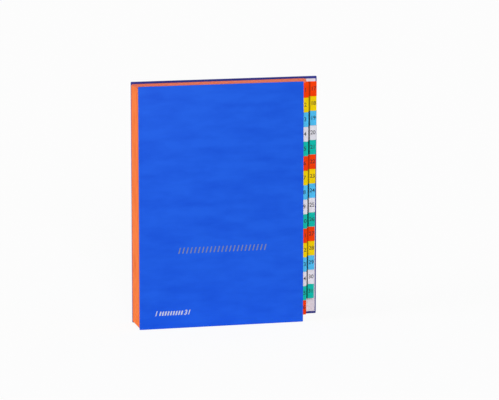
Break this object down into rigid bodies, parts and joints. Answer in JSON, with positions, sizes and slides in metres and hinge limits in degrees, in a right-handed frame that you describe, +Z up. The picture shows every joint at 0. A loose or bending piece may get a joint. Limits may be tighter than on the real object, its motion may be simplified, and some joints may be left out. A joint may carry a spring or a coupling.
{
  "type": "desk sorter",
  "caption": "Desk sorter: hinged blue board covers and a pleated orange cloth spine hold card dividers, whose coloured numbered tabs step down the fore edge in two columns.",
  "frame": {"origin": "on the ground, under the middle of the overall width and depth", "axes": "+Z up; +X from the spine to the fore edge with the tabs; -Y is the front cover"},
  "size_m": [0.25, 0.05, 0.32],
  "materials": {
    "covering_paper": "board wrapped in blue grained paper, satin",
    "lining_paper": "matt white",
    "spine_cloth": "matt woven cloth",
    "card_red": "smooth card with a glossy red film on its tab",
    "card_yellow": "smooth card with a glossy yellow film on its tab",
    "card_blue": "smooth card with a glossy blue film on its tab",
    "card_white": "smooth card with a glossy white film on its tab",
    "card_green": "smooth card with a glossy green film on its tab"
  },
  "bodies": {
    "leaf_block": {"spine": "spine_cloth", "divider_01": "card_red", "divider_02": "card_yellow", "divider_03": "card_blue", "divider_04": "card_white", "divider_05": "card_green", "divider_06": "card_red", "divider_07": "card_yellow", "divider_08": "card_blue", "divider_09": "card_white", "divider_10": "card_green", "divider_11": "card_red", "divider_12": "card_yellow", "divider_13": "card_blue", "divider_14": "card_white", "divider_15": "card_green", "divider_16": "card_red", "divider_17": "card_red", "divider_18": "card_yellow", "divider_19": "card_blue", "divider_20": "card_white", "divider_21": "card_green", "divider_22": "card_red", "divider_23": "card_yellow", "divider_24": "card_blue", "divider_25": "card_white", "divider_26": "card_green", "divider_27": "card_red", "divider_28": "card_yellow", "divider_29": "card_blue", "divider_30": "card_white", "divider_31": "card_green"},
    "front": {"front_cover": "covering_paper", "front_hinge_flap": "spine_cloth", "front_lining": "lining_paper"},
    "back": {"back_cover": "covering_paper", "back_hinge_flap": "spine_cloth", "back_lining": "lining_paper"}
  },
  "joints": [
    {"name": "front_cover_hinge", "type": "hinge", "parent": "leaf_block", "child": "front", "pos_m": [-0.125, -0.0225, 0.16], "axis": [0, 0, -1], "range_deg": [0, 180]},
    {"name": "back_cover_hinge", "type": "hinge", "parent": "leaf_block", "child": "back", "pos_m": [-0.125, 0.0225, 0.16], "axis": [0, 0, 1], "range_deg": [0, 180]}
  ]
}
